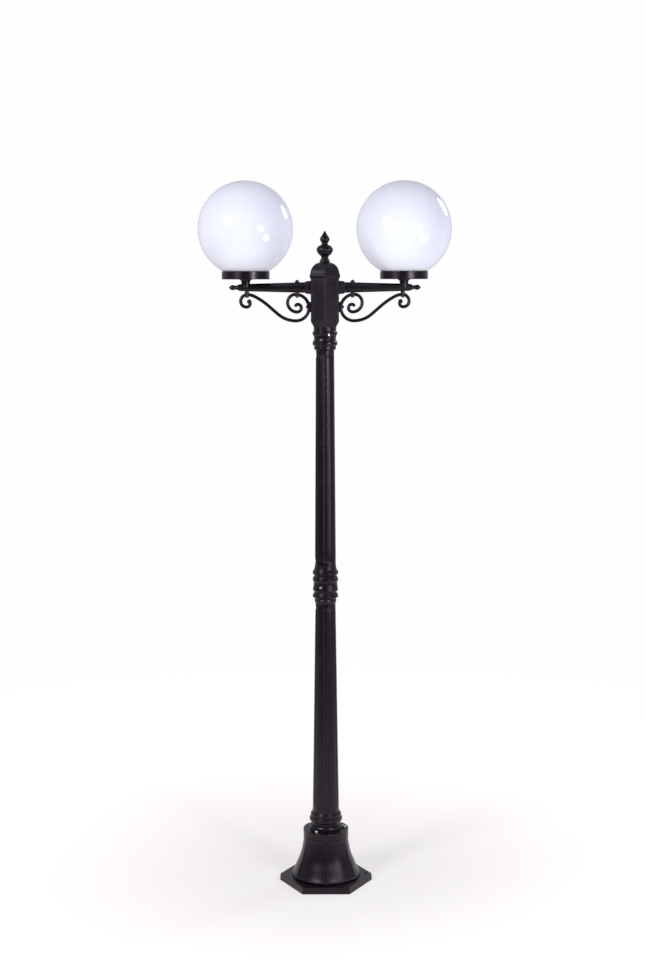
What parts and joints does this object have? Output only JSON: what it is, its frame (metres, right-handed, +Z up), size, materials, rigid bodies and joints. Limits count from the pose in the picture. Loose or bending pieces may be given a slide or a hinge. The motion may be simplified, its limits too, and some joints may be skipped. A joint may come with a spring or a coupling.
{
  "type": "street lamp post",
  "caption": "Black cast street lamp post: hexagonal bell base, fluted tapering column with ringed couplings, scroll-braced arms and opal globe lamps.",
  "frame": {"origin": "centre of the base plate's underside", "axes": "+Z up the column; the two arms lie along X; the front is -Y"},
  "size_m": [0.666, 0.25, 1.8963],
  "materials": {
    "black_coating": "satin black powder coat on cast aluminium",
    "opal": "glossy opal white",
    "bright_screw": "zinc plated",
    "black_screw": "blackened",
    "brass": "satin",
    "socket_white": "glazed white",
    "bulb_glass": "frosted",
    "bulb_metal": "bright",
    "seal": "matte",
    "cable_sheath": "matte",
    "terminal_plastic": "matte"
  },
  "bodies": {
    "post": {"base_casting": "black_coating", "foot_flange": "black_coating", "foot_coupling": "black_coating", "lower_column": "black_coating", "mid_coupling": "black_coating", "upper_column": "black_coating", "top_coupling": "black_coating", "head_box": "black_coating", "head_cap": "black_coating", "finial": "black_coating", "base_screws": "bright_screw", "mid_coupling_screws": "bright_screw", "top_coupling_screws": "brass", "scroll_arm_screws": "black_screw", "scroll_box_screws": "black_screw", "cap_stud": "bright_screw", "arm_nipples": "bright_screw", "arm_nuts": "bright_screw", "terminal_block": "terminal_plastic", "terminal_screws": "bright_screw", "earth_screw": "brass", "arm_left": "black_coating", "scroll_left": "black_coating", "holder_stem_left": "black_coating", "gallery_left": "black_coating", "globe_gasket_left": "seal", "holder_nipple_left": "bright_screw", "lamp_socket_left": "socket_white", "lamp_lead_left": "cable_sheath", "arm_right": "black_coating", "scroll_right": "black_coating", "holder_stem_right": "black_coating", "gallery_right": "black_coating", "globe_gasket_right": "seal", "holder_nipple_right": "bright_screw", "lamp_socket_right": "socket_white", "lamp_lead_right": "cable_sheath"},
    "globe_left": {"globe_left": "opal"},
    "globe_right": {"globe_right": "opal"},
    "bulb_left": {"bulb_cap_left": "bulb_metal", "bulb_glass_left": "bulb_glass"},
    "bulb_right": {"bulb_cap_right": "bulb_metal", "bulb_glass_right": "bulb_glass"}
  },
  "joints": [
    {"name": "globe_left_lift", "type": "slide", "parent": "post", "child": "globe_left", "axis": [0, 0, 1], "range_m": [0, 0.16]},
    {"name": "bulb_left_unscrew", "type": "hinge", "parent": "post", "child": "bulb_left", "pos_m": [-0.208, 0, 1.67], "axis": [0, 0, 1], "range_deg": [0, 1080]},
    {"name": "globe_right_lift", "type": "slide", "parent": "post", "child": "globe_right", "axis": [0, 0, 1], "range_m": [0, 0.16]},
    {"name": "bulb_right_unscrew", "type": "hinge", "parent": "post", "child": "bulb_right", "pos_m": [0.208, 0, 1.67], "axis": [0, 0, 1], "range_deg": [0, 1080]}
  ]
}
